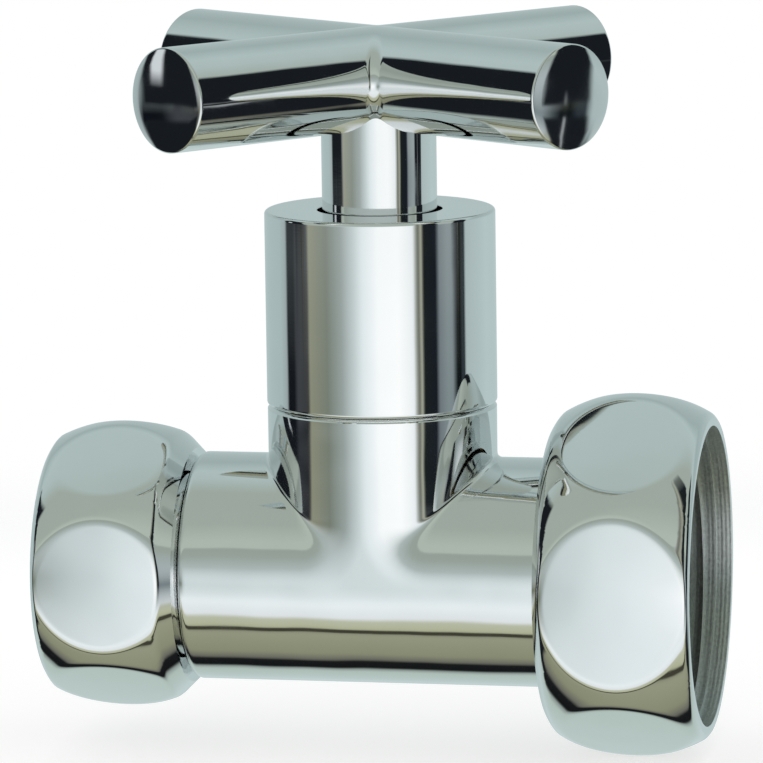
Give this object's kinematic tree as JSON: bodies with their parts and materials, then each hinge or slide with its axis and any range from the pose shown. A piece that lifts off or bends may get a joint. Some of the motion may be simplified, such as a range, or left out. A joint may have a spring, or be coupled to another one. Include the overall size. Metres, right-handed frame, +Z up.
{
  "type": "towel rail valve",
  "caption": "Straight shut-off valve for a towel rail: tee body, loose union nut on each end, screw-down headwork under a plain cover, and a cross handle.",
  "frame": {"origin": "where the pipe axis crosses the spindle axis, in the middle of the valve body", "axes": "+X along the pipe axis towards the large nut, +Z up the spindle axis towards the handle"},
  "size_m": [0.0768, 0.058, 0.0839],
  "materials": {
    "chrome_body": "chrome plated brass, polished",
    "chrome_nut": "chrome plated brass, polished",
    "chrome_handle": "chrome plated metal, polished",
    "raw_brass": "turned, bare",
    "gasket_rubber": "moulded, matt",
    "thrust_plastic": "plain",
    "spring_steel": "plain steel"
  },
  "bodies": {
    "body": {"valve_body": "chrome_body", "retaining_ring_large": "raw_brass", "retaining_ring_small": "raw_brass", "gasket_large": "gasket_rubber", "gasket_small": "gasket_rubber", "headwork": "raw_brass", "headwork_seal": "gasket_rubber", "thrust_washer": "thrust_plastic", "cover": "chrome_body"},
    "large_nut": {"union_nut_large": "chrome_nut"},
    "small_nut": {"union_nut_small": "chrome_nut"},
    "handle_and_spindle": {"handle": "chrome_handle", "handle_grub_screw": "spring_steel", "spindle": "raw_brass", "spindle_o_ring_lower": "gasket_rubber", "spindle_o_ring_upper": "gasket_rubber", "spindle_clip": "spring_steel"},
    "carrier": {"valve_carrier": "raw_brass", "seat_washer": "gasket_rubber", "washer_screw": "raw_brass"}
  },
  "joints": [
    {"name": "handle_turn", "type": "hinge", "parent": "body", "child": "handle_and_spindle", "pos_m": [0, 0, 0.03], "axis": [0, 0, 1], "range_deg": [0, 900]},
    {"name": "carrier_lift", "type": "slide", "parent": "body", "child": "carrier", "axis": [0, 0, 1], "range_m": [0, 0.00375]},
    {"name": "large_nut_spin", "type": "hinge", "parent": "body", "child": "large_nut", "pos_m": [0.03, 0, 0], "axis": [1, 0, 0], "continuous": true},
    {"name": "small_nut_spin", "type": "hinge", "parent": "body", "child": "small_nut", "pos_m": [-0.03, 0, 0], "axis": [-1, 0, 0], "continuous": true}
  ],
  "couplings": [
    {"joint": "carrier_lift", "follows": "handle_turn", "m_per_rad": 0.00023873}
  ]
}
